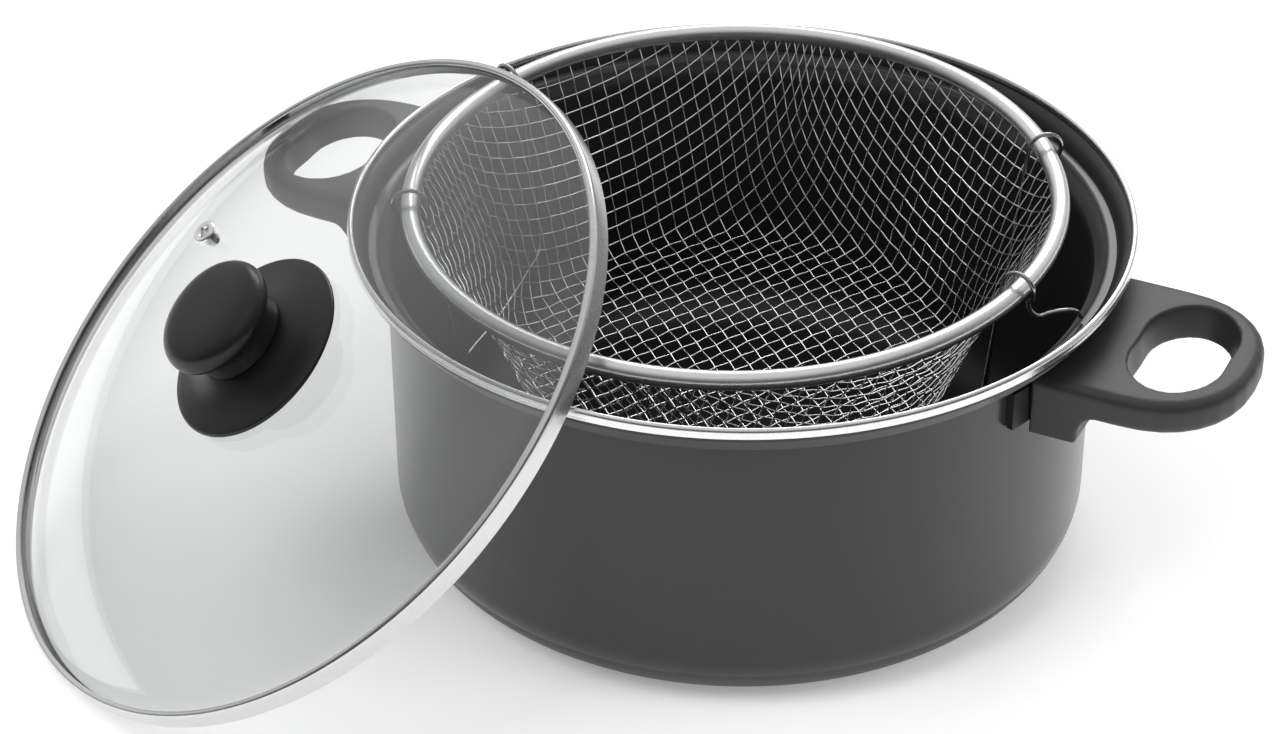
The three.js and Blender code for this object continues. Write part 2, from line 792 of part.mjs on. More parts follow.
// Folding handle: two eyes over the rim tube, two legs, a bow, and a tail out to the ledge
function bailGeometry(bail) {
  const [tailEye, farEye] = eyeAngles(bail);
  const at = (angle, outward, along, height) => {
    const radius = basketRingRadius + outward;
    return new THREE.Vector3(
      radius * Math.cos(angle) - along * Math.sin(angle),
      radius * Math.sin(angle) + along * Math.cos(angle),
      height,
    );
  };
  const onEye = (angle, turn) => {
    const outward = eyeRadius * Math.cos(degrees(turn));
    return at(angle, outward, 0, eyeLift + eyeRadius * Math.sin(degrees(turn)));
  };
  const legPoint = (angle, depth) => at(angle, -eyeRadius - depth * Math.tan(degrees(bailLean)), 0, -depth);
  const tip = tailTip(tailEye + degrees(tailSweepAngle));
  const tailReach = tip.x * Math.cos(tailEye) + tip.y * Math.sin(tailEye) - basketRingRadius;
  const tailSweep = tip.y * Math.cos(tailEye) - tip.x * Math.sin(tailEye);
  const points = [tip];
  for (const [out, sweep, fall] of tailShares) {
    points.push(at(tailEye, tailReach * out, tailSweep * sweep, tip.z * fall));
  }
  for (let turn = eyeTailAngle; turn <= eyeLegAngle; turn += eyeStepAngle) {
    points.push(onEye(tailEye, turn));
  }
  const straight = bailDrop - bailCorner;
  for (let i = 1; i <= cornerSteps; i += 1) points.push(legPoint(tailEye, straight * i / cornerSteps));
  const feet = [tailEye, farEye].map((angle) => legPoint(angle, bailDrop));
  const bow = feet[1].clone().sub(feet[0]);
  const inset = bailCorner / bow.length();
  for (const [foot, knee] of [[0, 1], [1, 0]]) {
    const leg = legPoint([tailEye, farEye][foot], straight);
    const near = feet[foot].clone().lerp(feet[knee], inset);
    const round = new THREE.QuadraticBezierCurve3(leg, feet[foot], near);
    const curve = kneeShares.map((share) => round.getPoint(share));
    points.push(...(foot === 0 ? curve : curve.reverse()));
  }
  for (let i = cornerSteps; i >= 1; i -= 1) points.push(legPoint(farEye, straight * i / cornerSteps));
  for (let turn = eyeLegAngle; turn >= eyeCurlAngle; turn -= eyeStepAngle) {
    points.push(onEye(farEye, turn));
  }
  return wire(new THREE.CatmullRomCurve3(points, false, 'centripetal'), bailWireRadius, bailSteps);
}

// Turn of the lid about its own centre: leaned over, then swung to its side of the pot
const lidTurn = new THREE.Quaternion().setFromEuler(
  new THREE.Euler(0, degrees(lidLean), degrees(lidLeanAzimuth), 'ZYX'),
);

// Least height between the pot's rim and the glass above it, with the lid's centre at this place
function glassOverRim(centre) {
  const unturn = lidTurn.clone().invert();
  let least = potHeight;
  for (let i = 0; i < ringSegments * 2; i += 1) {
    const angle = Math.PI * i / ringSegments;
    for (const [reach, height] of trimCrownPoints(cornerSteps * 2)) {
      const point = new THREE.Vector3(reach * Math.cos(angle), reach * Math.sin(angle), height);
      point.sub(centre).applyQuaternion(unturn);
      const radius = Math.hypot(point.x, point.y);
      if (radius < domeRadius) least = Math.min(least, domeAt(radius) - glassThickness - point.z);
    }
  }
  return least;
}

// The lid stands on its edge and is pushed in until its glass meets the pot's rim
function lidCentre() {
  const lean = degrees(lidLean);
  const bearing = degrees(lidBearing);
  const height = lidRadius * Math.sin(lean) + bandHeight * Math.cos(lean) + standGap;
  const centre = new THREE.Vector3(0, 0, height);
  let near = rimRadius / 2;
  let far = rimRadius + lidRadius;
  while (far - near > seatGap / 100) {
    const distance = (near + far) / 2;
    centre.set(distance * Math.cos(bearing), distance * Math.sin(bearing), height);
    if (glassOverRim(centre) < slipGap) near = distance;
    else far = distance;
  }
  return centre;
}

// Materials
const finishes = {
  potShell: { color: 0x2b2c2e, roughness: 0.42, metalness: 0.35 },
  stainless: { color: 0xd9dadb, roughness: 0.16, metalness: 1 },
  moulded: { color: 0x232325, roughness: 0.5, metalness: 0 },
  steel: { color: 0x3a3b3d, roughness: 0.5, metalness: 0.8 },
  zinc: { color: 0xa9abad, roughness: 0.35, metalness: 1 },
  brass: { color: 0xb59a5a, roughness: 0.35, metalness: 1 },
  wireMesh: { color: 0xb9babc, roughness: 0.3, metalness: 1 },
  glass: { color: 0xdfe4e4, roughness: 0.05, metalness: 0, transparent: true, opacity: 0.35 },
  rubber: { color: 0x18181a, roughness: 0.85, metalness: 0 },
};

function piece(name, geometry, finish) {
  const material = new THREE.MeshStandardMaterial(finishes[finish]);
  const mesh = new THREE.Mesh(geometry, material);
  mesh.name = name;
  return mesh;
}

const object = new THREE.Group();
object.add(piece('pot_body', potBodyGeometry(), 'potShell'));
object.add(piece('rim_trim', rimTrimGeometry(), 'stainless'));

for (const [side, azimuth] of Object.entries(handleAzimuths)) {
  const group = new THREE.Group();
  group.rotation.z = degrees(azimuth);
  group.add(piece(`handle_${side}`, handleGeometry(), 'moulded'));
  group.add(piece(`handle_bracket_${side}`, bracketGeometry(), 'steel'));
  group.add(piece(`handle_screw_${side}`, handleScrewGeometry(), 'zinc'));
  object.add(group);
}

const basket = new THREE.Group();
const leanAxis = degrees(basketLeanAzimuth);
basket.quaternion.setFromAxisAngle(
  new THREE.Vector3(Math.sin(leanAxis), -Math.cos(leanAxis), 0),
  degrees(basketLean),
);
basket.position.set(basketShiftX, basketShiftY, potHeight + basketRise);
basket.add(piece('basket_mesh', basketMeshGeometry(), 'wireMesh'));
basket.add(piece('basket_rim', basketRimGeometry(), 'stainless'));
for (const side of Object.keys(bailAzimuths)) {
  basket.add(piece(`basket_bail_${side}`, bailGeometry(side), 'stainless'));
}
object.add(basket);

const lid = new THREE.Group();
lid.position.copy(lidCentre());
lid.quaternion.copy(lidTurn);
lid.add(piece('lid_glass', lidGlassGeometry(), 'glass'));
lid.add(piece('lid_band', lidBandGeometry(), 'stainless'));
lid.add(piece('vent_eyelet', ventEyeletGeometry(), 'stainless'));
lid.add(piece('knob_gasket', knobGasketGeometry(), 'rubber'));
lid.add(piece('knob_skirt', knobSkirtGeometry(), 'moulded'));
lid.add(piece('knob_grip', knobGripGeometry(), 'moulded'));
lid.add(piece('knob_insert', knobInsertGeometry(), 'brass'));
lid.add(piece('knob_washer', knobWasherGeometry(), 'zinc'));
lid.add(piece('knob_screw', knobScrewGeometry(), 'zinc'));
object.add(lid);

export default object;
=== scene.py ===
# %% [markdown]
# # A deep frying pot with its basket and glass lid
# This lesson dresses a measured model of a frying pot. The measured model already holds the true
# sizes and the moving bodies. Here each piece gets the fine shape and the finish that the eye looks
# for. The frame is loaded first, because every later piece is placed in its coordinates.

# %% Load the measured model
import math
import bpy
import numpy as np
from mathutils import Matrix, Quaternion, Vector


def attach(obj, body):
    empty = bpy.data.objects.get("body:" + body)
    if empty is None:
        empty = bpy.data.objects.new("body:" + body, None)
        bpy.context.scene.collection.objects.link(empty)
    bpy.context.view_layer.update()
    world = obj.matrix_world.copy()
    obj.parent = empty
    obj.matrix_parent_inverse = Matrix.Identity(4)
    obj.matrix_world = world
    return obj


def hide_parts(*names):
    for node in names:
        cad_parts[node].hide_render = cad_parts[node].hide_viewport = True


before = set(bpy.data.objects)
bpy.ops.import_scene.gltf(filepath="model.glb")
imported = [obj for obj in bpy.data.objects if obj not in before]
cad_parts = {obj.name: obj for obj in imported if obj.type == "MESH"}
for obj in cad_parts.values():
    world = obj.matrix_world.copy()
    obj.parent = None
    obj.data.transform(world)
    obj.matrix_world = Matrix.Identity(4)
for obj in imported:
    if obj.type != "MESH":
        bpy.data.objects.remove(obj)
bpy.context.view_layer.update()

MM = 0.001

# %% [markdown]
# ## The camera
# A product picture is taken with a long lens, so that near and far handles look alike in size. The
# camera could be aimed by hand, but a place, an up direction and a lens length that were worked out
# from the round rims give the same view each time.

# %% Place the camera
LENS_LENGTH, SENSOR_WIDTH, VIEW_LIMIT = 95.625, 36, 20
CAMERA_PLACE = Vector((-32.871, -931.560, 673.205)) * MM
camera_data = bpy.data.cameras.new("studio_camera")
camera_data.sensor_width = SENSOR_WIDTH
camera_data.lens = LENS_LENGTH
camera_data.clip_end = VIEW_LIMIT
camera = bpy.data.objects.new("studio_camera", camera_data)
scene = bpy.context.scene
scene.collection.objects.link(camera)
right = Vector((0.99997096, -0.00422262, -0.00634446))
up = Vector((0.0076212, 0.55404603, 0.83245115))
camera.matrix_world = Matrix((right, up, right.cross(up))).transposed().to_4x4()
camera.location = CAMERA_PLACE
scene.camera = camera
print("camera stands", round(camera.location.length, 3), "m from the pot's base")

# %% [markdown]
# ## The room
# Shiny metal and clear glass show the room around them, so the room matters as much as the finish. An
# even white room would be simple, but metal looks flat in it. This one is bright overhead and behind
# the pot, and dim in front and near the ground, so that each rim has a light side and a dark one.
# The camera itself sees white paper in place of the room, also through the glass.

# %% Light the room
scene.view_settings.view_transform = "Standard"
world = bpy.data.worlds.new("studio_world")
scene.world = world
world.use_nodes = True
WHITE = (1, 1, 1, 1)


def graded(tree, direction, span, shades):
    grade = tree.nodes.new("ShaderNodeMapRange")
    ends = ("From Min", "From Max", "To Min", "To Max")
    for end, value in zip(ends, span + shades):
        grade.inputs[end].default_value = value
    tree.links.new(direction, grade.inputs["Value"])
    return grade.outputs["Result"]


def combined(tree, operation, first, second):
    node = tree.nodes.new("ShaderNodeMath")
    node.operation = operation
    tree.links.new(first, node.inputs[0])
    tree.links.new(second, node.inputs[1])
    return node.outputs[0]


tree = world.node_tree
tree.nodes.clear()
aim = tree.nodes.new("ShaderNodeTexCoord")
axes = tree.nodes.new("ShaderNodeSeparateXYZ")
tree.links.new(aim.outputs["Generated"], axes.inputs[0])
overhead = graded(tree, axes.outputs["Z"], (0.35, 0.9), (0.0, 0.75))
behind = graded(tree, axes.outputs["Y"], (-0.35, 0.55), (0.11, 0.85))
above_ground = graded(tree, axes.outputs["Z"], (0.02, 0.32), (0.25, 1.0))
room = tree.nodes.new("ShaderNodeBackground")
back_wall = combined(tree, "MULTIPLY", behind, above_ground)
tree.links.new(combined(tree, "MAXIMUM", overhead, back_wall), room.inputs["Color"])
paper = tree.nodes.new("ShaderNodeBackground")
paper.inputs["Color"].default_value = WHITE
path = tree.nodes.new("ShaderNodeLightPath")
seen = combined(tree, "MAXIMUM", path.outputs["Is Camera Ray"], path.outputs["Is Transmission Ray"])
choose = tree.nodes.new("ShaderNodeMixShader")
tree.links.new(seen, choose.inputs["Fac"])
tree.links.new(room.outputs[0], choose.inputs[1])
tree.links.new(paper.outputs[0], choose.inputs[2])
out = tree.nodes.new("ShaderNodeOutputWorld")
tree.links.new(choose.outputs[0], out.inputs["Surface"])
print("room lit")

# %% [markdown]
# ## Soft lamps
# Three large lamps give soft edges. The two in front are hidden from mirrors, because their square
# shapes would show in the lid. The one behind stays, and draws the bright lines along the rims.

# %% Hang three softboxes
BODY_AIM, MOUTH_AIM = (0, 0, 0.08), (0, 0, 0.1)


def softbox(name, place, target, size, power, mirrored):
    lamp = bpy.data.lights.new(name, "AREA")
    lamp.shape = "RECTANGLE"
    lamp.size, lamp.size_y = size
    lamp.energy = power
    box = bpy.data.objects.new(name, lamp)
    scene.collection.objects.link(box)
    box.location = place
    box.rotation_euler = (Vector(target) - Vector(place)).to_track_quat("-Z", "Y").to_euler()
    box.visible_glossy = mirrored
    print(name, "gives", power, "W")


softbox("key_softbox", (-0.9, -0.7, 1.5), BODY_AIM, (0.9, 0.9), 14, False)
softbox("fill_softbox", (1.3, -0.6, 0.9), BODY_AIM, (0.7, 0.9), 7, False)
softbox("back_softbox", (0.3, 1.4, 1.2), MOUTH_AIM, (1.2, 0.6), 9, True)

# %% [markdown]
# ## The floor
# The pot stands on white paper. A plain plane is enough, and it takes the soft shadow. More light
# would bring the paper to white but bleach the metal, so the paper has a faint glow of its own, which
# only the camera and mirrors see.

# %% Lay the paper floor
FLOOR_SIZE, FLOOR_LEVEL = 6, -0.0004
PAPER_SHADE, PAPER_ROUGHNESS, PAPER_GLOW = 0.9, 0.9, 0.28
bpy.ops.object.select_all(action="DESELECT")
bpy.ops.mesh.primitive_plane_add(size=FLOOR_SIZE, location=(0, 0, FLOOR_LEVEL))
floor = bpy.context.object
floor.name = "paper_floor"
white_paper = bpy.data.materials.new("white_paper")
white_paper.use_nodes = True
tree = white_paper.node_tree
shader = tree.nodes["Principled BSDF"]
shader.inputs["Base Color"].default_value = (PAPER_SHADE, PAPER_SHADE, PAPER_SHADE, 1)
shader.inputs["Roughness"].default_value = PAPER_ROUGHNESS
shader.inputs["Emission Color"].default_value = WHITE
path = tree.nodes.new("ShaderNodeLightPath")
seen = combined(tree, "MAXIMUM", path.outputs["Is Camera Ray"], path.outputs["Is Glossy Ray"])
lift = tree.nodes.new("ShaderNodeMath")
lift.operation = "MULTIPLY"
lift.inputs[1].default_value = PAPER_GLOW
tree.links.new(seen, lift.inputs[0])
tree.links.new(lift.outputs[0], shader.inputs["Emission Strength"])
floor.data.materials.append(white_paper)
print("floor is", floor.dimensions.x, "m wide")

# %% [markdown]
# ## A recipe for finishes
# Each finish is a Principled shader with a little life in it: fine noise in its colour and roughness,
# and a small bump, at the size that the real surface has. A helper keeps the recipe in one place, and
# the calls below give each finish its own values. Patterns read Object coordinates, so they stay put.

# %% A finish with fine variation
NOISE_DETAIL, TINT_SPREAD, DENT_DEPTH = 3.0, 0.08, 0.2
SHEEN_ROUGHNESS, SMOOTHEST = 0.4, 0.02


def finish(name, color, roughness, metallic=0.0, grain=900.0, vary=0.08, bump=0.02, shine=0.5, sheen=0.0):
    material = bpy.data.materials.new(name)
    material.use_nodes = True
    tree = material.node_tree
    shader = tree.nodes["Principled BSDF"]
    shader.inputs["Metallic"].default_value = metallic
    shader.inputs["Specular IOR Level"].default_value = shine
    shader.inputs["Sheen Weight"].default_value = sheen
    shader.inputs["Sheen Roughness"].default_value = SHEEN_ROUGHNESS
    place = tree.nodes.new("ShaderNodeTexCoord")
    noise = tree.nodes.new("ShaderNodeTexNoise")
    noise.inputs["Scale"].default_value = grain
    noise.inputs["Detail"].default_value = NOISE_DETAIL
    tree.links.new(place.outputs["Object"], noise.inputs["Vector"])
    rough = graded(tree, noise.outputs["Fac"], (0, 1), (max(roughness - vary, SMOOTHEST), roughness + vary))
    tree.links.new(rough, shader.inputs["Roughness"])
    tint = tree.nodes.new("ShaderNodeMixRGB")
    tint.inputs["Color1"].default_value = (*[c * (1 - TINT_SPREAD) for c in color], 1)
    tint.inputs["Color2"].default_value = (*[min(c * (1 + TINT_SPREAD), 1) for c in color], 1)
    tree.links.new(noise.outputs["Fac"], tint.inputs["Fac"])
    tree.links.new(tint.outputs["Color"], shader.inputs["Base Color"])
    dent = tree.nodes.new("ShaderNodeBump")
    dent.inputs["Strength"].default_value = bump
    dent.inputs["Distance"].default_value = DENT_DEPTH * MM
    tree.links.new(noise.outputs["Fac"], dent.inputs["Height"])
    tree.links.new(dent.outputs["Normal"], shader.inputs["Normal"])
    print("finish", name)
    return material


print("bump height is", DENT_DEPTH, "mm at full strength")

# %% [markdown]
# ## Metal and plastic finishes
# The pot is aluminium under a satin charcoal coating that lightens towards its edges, as a fine sheen
# does, and black non-stick inside. The rims and wires are stainless steel, each with its own polish.
# The wire handles get a much darker steel colour, as painted shade for wires that hang in the dim pot
# behind the cloth. The lid band's steel is also darker, as painted shade for its dim reflections.
# Handles and knob are black moulded resin, satin on the handles and glossier on the knob.

# %% Make the finishes
charcoal = finish("charcoal_coating", (0.018, 0.018, 0.019), 0.24, grain=240, vary=0.01, bump=0, sheen=0.28)
nonstick = finish("black_nonstick", (0.012, 0.012, 0.013), 0.42, grain=1800, bump=0.10)
stainless = finish("polished_stainless", (0.80, 0.80, 0.81), 0.24, metallic=1, grain=700, vary=0.04)
tube_steel = finish("satin_tube", (0.78, 0.78, 0.79), 0.3, metallic=1, grain=700, vary=0.04)
# Painted shade: the lid band's colour is darker than the bead's, to stand in for its dim reflections.
shaded_band_steel = finish("lid_band_painted_shade", (0.64, 0.64, 0.65), 0.2, metallic=1, grain=700, vary=0.04)
wire_steel = finish("bright_wire", (0.86, 0.86, 0.87), 0.2, metallic=1, grain=1200, vary=0.06)
resin = finish("black_resin", (0.026, 0.026, 0.028), 0.44, grain=2600, bump=0.25)
knob_resin = finish("glossy_knob_resin", (0.009, 0.009, 0.010), 0.3, grain=2600, bump=0.04, shine=0.34)
# Painted shade: the handle wire's colour is much darker than the cloth wire's, for wires in the dim pot.
shaded_handle_wire = finish("painted_shade_bail_wire", (0.40, 0.40, 0.41), 0.12, metallic=1, grain=900, vary=0.04)
bracket_steel = finish("dark_bracket_steel", (0.012, 0.012, 0.013), 0.5, metallic=0.2, bump=0.05)
plated = finish("plated_screw", (0.6, 0.61, 0.62), 0.3, metallic=1)
brass = finish("plain_brass", (0.62, 0.47, 0.2), 0.35, metallic=1)
rubber = finish("black_rubber", (0.02, 0.02, 0.02), 0.8, grain=2000, bump=0.1)

# %% [markdown]
# ## Clear lid glass
# Tempered glass is clear with a slight grey in its depth. Each face lets most light straight through
# and mirrors a little of the room, more at a low angle. Bending the light as well would be truer, but
# it would shift the rims that show through the lid, and the real sheet hardly does.

# %% Make the glass
GLASS_TINT, GLASS_POLISH = (0.875, 0.88, 0.88, 1), 0.03
FACE_ON_MIRROR, LOW_ANGLE_POWER = 0.08, 5.0
glass = bpy.data.materials.new("clear_lid_glass")
glass.use_nodes = True
tree = glass.node_tree
tree.nodes.remove(tree.nodes["Principled BSDF"])
clear = tree.nodes.new("ShaderNodeBsdfTransparent")
clear.inputs["Color"].default_value = GLASS_TINT
mirror = tree.nodes.new("ShaderNodeBsdfGlossy")
mirror.inputs["Roughness"].default_value = GLASS_POLISH
mirror.inputs["Color"].default_value = WHITE
angle = tree.nodes.new("ShaderNodeLayerWeight")
steep = tree.nodes.new("ShaderNodeMath")
steep.operation = "POWER"
steep.inputs[1].default_value = LOW_ANGLE_POWER
gloss = tree.nodes.new("ShaderNodeMath")
gloss.operation = "MULTIPLY_ADD"
gloss.inputs[1].default_value = 1 - FACE_ON_MIRROR
gloss.inputs[2].default_value = FACE_ON_MIRROR
blend = tree.nodes.new("ShaderNodeMixShader")
tree.links.new(angle.outputs["Facing"], steep.inputs[0])
tree.links.new(steep.outputs[0], gloss.inputs[0])
tree.links.new(gloss.outputs[0], blend.inputs["Fac"])
tree.links.new(clear.outputs[0], blend.inputs[1])
tree.links.new(mirror.outputs[0], blend.inputs[2])
tree.links.new(blend.outputs[0], tree.nodes["Material Output"].inputs["Surface"])
print("finish", glass.name)

# %% [markdown]
# ## Turned pieces
# Rims, lids, knobs and the pot itself are round, so each is an outline turned about an axis, as on a
# lathe. The outline grows from one corner by extruding it point by point, and Spin sweeps it round.
# Doubles are merged before the normals are worked out, because Spin can leave the shape inside out.

# %% Turn an outline
WELD = 0.01


def pick(piece):
    if bpy.context.object and bpy.context.object.mode != "OBJECT":
        bpy.ops.object.mode_set(mode="OBJECT")
    bpy.ops.object.select_all(action="DESELECT")
    if piece:
        piece.select_set(True)
        bpy.context.view_layer.objects.active = piece


def turned(name, outline, steps=160, sharp=32):
    pick(None)
    bpy.ops.mesh.primitive_plane_add(size=MM)
    piece = bpy.context.object
    piece.name = name
    bpy.ops.object.mode_set(mode="EDIT")
    bpy.ops.mesh.select_all(action="SELECT")
    bpy.ops.mesh.merge(type="CENTER")
    place = Vector((outline[0][0] * MM, 0, outline[0][1] * MM))
    bpy.ops.transform.translate(value=place)
    for radius, height in outline[1:]:
        corner = Vector((radius * MM, 0, height * MM))
        bpy.ops.mesh.extrude_region_move(TRANSFORM_OT_translate={"value": corner - place})
        place = corner
    bpy.ops.mesh.select_all(action="SELECT")
    bpy.ops.mesh.spin(steps=steps, angle=math.tau, center=(0, 0, 0), axis=(0, 0, 1))
    bpy.ops.mesh.select_all(action="SELECT")
    bpy.ops.mesh.remove_doubles(threshold=WELD * MM)
    bpy.ops.mesh.normals_make_consistent(inside=False)
    bpy.ops.object.mode_set(mode="OBJECT")
    bpy.ops.object.shade_smooth_by_angle(angle=math.radians(sharp))
    print(name, "has", len(piece.data.polygons), "faces")
    return piece


print("corners closer than", WELD, "mm are welded")


# %% Round stretches of an outline
def arc(centre, radius, start, end, steps=8):
    turns = [math.radians(start + (end - start) * i / steps) for i in range(steps + 1)]
    return [(centre[0] + radius * math.cos(t), centre[1] + radius * math.sin(t)) for t in turns]


def swept(start, bend, end, count):
    t = np.linspace(0, 1, count)[:, None]
    start, bend, end = np.array(start), np.array(bend), np.array(end)
    return (1 - t) ** 2 * start + 2 * (1 - t) * t * bend + t ** 2 * end


print("an arc has", len(arc((0, 0), 1, 0, 90)), "points unless it is told otherwise")

# %% [markdown]
# ## Cutting and fitting a piece
# A Boolean modifier joins or cuts a piece with a tool, and the tool is then thrown away. A finished
# piece is carried to its place, rides the body that it moves with, and takes the place of the measured
# solids that it dresses. Its place goes into its mesh, so that the object itself stays at the origin.


# %% Cut and fit a piece
def fit_out(piece, body, nodes, matrix=None):
    if matrix is not None:
        pick(piece)
        piece.matrix_world = matrix
        bpy.ops.object.transform_apply(location=True, rotation=True, scale=True)
    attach(piece, body)
    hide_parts(*nodes)


def cut(piece, tool, way="DIFFERENCE"):
    step = piece.modifiers.new("cut", "BOOLEAN")
    step.operation = way
    step.object = tool
    pick(piece)
    bpy.ops.object.modifier_apply(modifier=step.name)
    bpy.data.objects.remove(tool)


# %% [markdown]
# ## The pot
# The shell is pressed from thick sheet: a flat base, a round corner, a straight wall, then a ledge
# for the lid and a short upright lip. The same outline as the measured one is turned with many more
# steps, so that the wall reflects like a true cylinder. The coating inside is a second finish, given
# to the faces that lie inside the wall.

# %% Pot sizes, in millimetres
POT_TOP, RIM_R, WALL_R, WALL = 114.5, 125.8, 114.0, 2.2
BASE_THICK, BASE_CORNER, FLARE = 4.5, 20.0, 4.0
LEDGE_Z, LEDGE_R, LEDGE_FLAT = 106.2, 119.4, 2.2
LIP_WALL, LIP_INSET, LIP_DROP = 0.7, 0.8, 1.3
RECESS_DROP, BEND_SHARES = 2.5, (0.26, 0.86)
LIP_OUT = RIM_R - LIP_INSET
LIP_IN = LIP_OUT - LIP_WALL
LIP_TOP = POT_TOP - LIP_DROP
RECESS_TOP = POT_TOP - RECESS_DROP
print("ledge lies", round(POT_TOP - LEDGE_Z, 1), "mm under the rim")

# %% Turn the pot
under = LEDGE_Z - WALL
bore = WALL_R - WALL
inner_corner = BASE_CORNER - WALL
bend = (LEDGE_R + (LIP_IN - LEDGE_R) * BEND_SHARES[0], LEDGE_Z + (RECESS_TOP - LEDGE_Z) * BEND_SHARES[1])
pot_outline = [
    (0, 0),
    *arc((WALL_R - BASE_CORNER, BASE_CORNER), BASE_CORNER, -90, 0, 14),
    *arc((WALL_R + FLARE, under - FLARE), FLARE, 180, 90, 6),
    (LEDGE_R + WALL / 2, under),
    (LIP_OUT, RECESS_TOP - WALL),
    (LIP_OUT, LIP_TOP),
    (LIP_IN, LIP_TOP),
    *swept((LIP_IN, RECESS_TOP), bend, (LEDGE_R, LEDGE_Z), 11).tolist(),
    (LEDGE_R - LEDGE_FLAT, LEDGE_Z),
    (LEDGE_R - LEDGE_FLAT - 0.6, LEDGE_Z - 0.15),
    (LEDGE_R - LEDGE_FLAT - 1.2, LEDGE_Z - 0.6),
    (bore + 1.0, LEDGE_Z - 4.6),
    (bore + 0.3, LEDGE_Z - 6.0),
    (bore, LEDGE_Z - 7.4),
    *arc((bore - inner_corner, BASE_THICK + inner_corner), inner_corner, 0, -90, 12),
    (0, BASE_THICK),
]
pot = turned("pot_shell", pot_outline, steps=192)

# %% Coat the pot outside and inside
INNER_COAT = 1
pot.data.materials.append(charcoal)
pot.data.materials.append(nonstick)
for face in pot.data.polygons:
    middle = face.center
    reach = math.hypot(middle.x, middle.y) / MM
    inward = face.normal.x * middle.x + face.normal.y * middle.y < 0
    above_base = reach < WALL_R - WALL / 2 and middle.z > (BASE_THICK - 0.5) * MM
    if above_base or (inward and middle.z > under * MM):
        face.material_index = INNER_COAT
fit_out(pot, "pot", ["pot_body"])
print("coated", sum(face.material_index == INNER_COAT for face in pot.data.polygons), "faces")

# %% [markdown]
# ## The pot's bright rim
# A stainless bead is rolled over the lip. It is a thin ring with a round crown, so it is turned too.

# %% Turn the bead
BEAD_GAP, BEAD_WALL, BEAD_ROOF, CROWN = 0.3, 0.5, 1.0, 1.5
BEAD_OUTER_DROP, BEAD_INNER_DROP = 3.4, 2.2
inner_leg, outer_leg = LIP_IN - BEAD_GAP, LIP_OUT + BEAD_GAP
inner_side = inner_leg - BEAD_WALL
bead_middle = (RIM_R + inner_side) / 2
crown = [(bead_middle + (RIM_R - bead_middle) * math.cos(t), POT_TOP - CROWN + CROWN * math.sin(t))
         for t in (math.pi * k / 14 for k in range(15))]
bead_outline = [
    (outer_leg, POT_TOP - BEAD_OUTER_DROP),
    (RIM_R - 0.3, POT_TOP - BEAD_OUTER_DROP),
    (RIM_R - 0.05, POT_TOP - 3.2),
    (RIM_R, POT_TOP - 2.9),
    (RIM_R - 0.12, POT_TOP - 2.4),
    (RIM_R - 0.12, POT_TOP - 2.1),
    *crown,
    (inner_side, POT_TOP - BEAD_INNER_DROP),
    (inner_leg, POT_TOP - BEAD_INNER_DROP),
    (inner_leg, POT_TOP - BEAD_ROOF),
    (outer_leg, POT_TOP - BEAD_ROOF),
    (outer_leg, POT_TOP - BEAD_OUTER_DROP),
]
bead = turned("rim_bead", bead_outline, steps=192)
bead.data.materials.append(stainless)
fit_out(bead, "pot", ["rim_trim"])

# %% [markdown]
# ## Where the basket and the lid sit
# The basket leans a little in the mouth of the pot, and the lid leans on its rim. Each is easiest to
# make level, about its own axis, and is then carried to its place by one matrix.

# %% Frames of the basket and the lid
BASKET_SHIFT, BASKET_RISE = Vector((-2.4, 0.1, 0)), 4.9
BASKET_LEAN, BASKET_LEAN_WAY = math.radians(1.7), math.radians(62)
LID_CENTRE = Vector((-142.40, -44.62, 81.16))
LID_LEAN, LID_LEAN_WAY = math.radians(39.6), math.radians(204.5)
lean_axis = Vector((math.sin(BASKET_LEAN_WAY), -math.cos(BASKET_LEAN_WAY), 0))
basket_frame = (
    Matrix.Translation((BASKET_SHIFT + Vector((0, 0, POT_TOP + BASKET_RISE))) * MM)
    @ Quaternion(lean_axis, BASKET_LEAN).to_matrix().to_4x4()
)
lid_frame = (
    Matrix.Translation(LID_CENTRE * MM)
    @ Matrix.Rotation(LID_LEAN_WAY, 4, "Z")
    @ Matrix.Rotation(LID_LEAN, 4, "Y")
)
print("lid centre", [round(v, 2) for v in LID_CENTRE])

# %% [markdown]
# ## The basket's rim
# A bright tube holds the edge of the wire cloth. Its outline is a small circle, turned at the radius
# of the mouth. A torus would give the same ring, but the lathe helper also names and shades it.

# %% Turn the rim tube
RING_R, TUBE_R = 103.2, 3.05
ring = turned("basket_rim_tube", arc((RING_R, 0), TUBE_R, 0, 360, 20), steps=192, sharp=60)
ring.data.materials.append(tube_steel)
fit_out(ring, "basket", ["basket_rim"], basket_frame)

# %% [markdown]
# ## The shape of the wire bowl
# The bowl has a flat floor, a small round corner and a wall that swells outwards to the rim tube. Its
# outline is drawn once, from the middle of the floor to the mouth, and runs on past the mouth, so
# that a wire can be followed up to the tube before it is cut off.

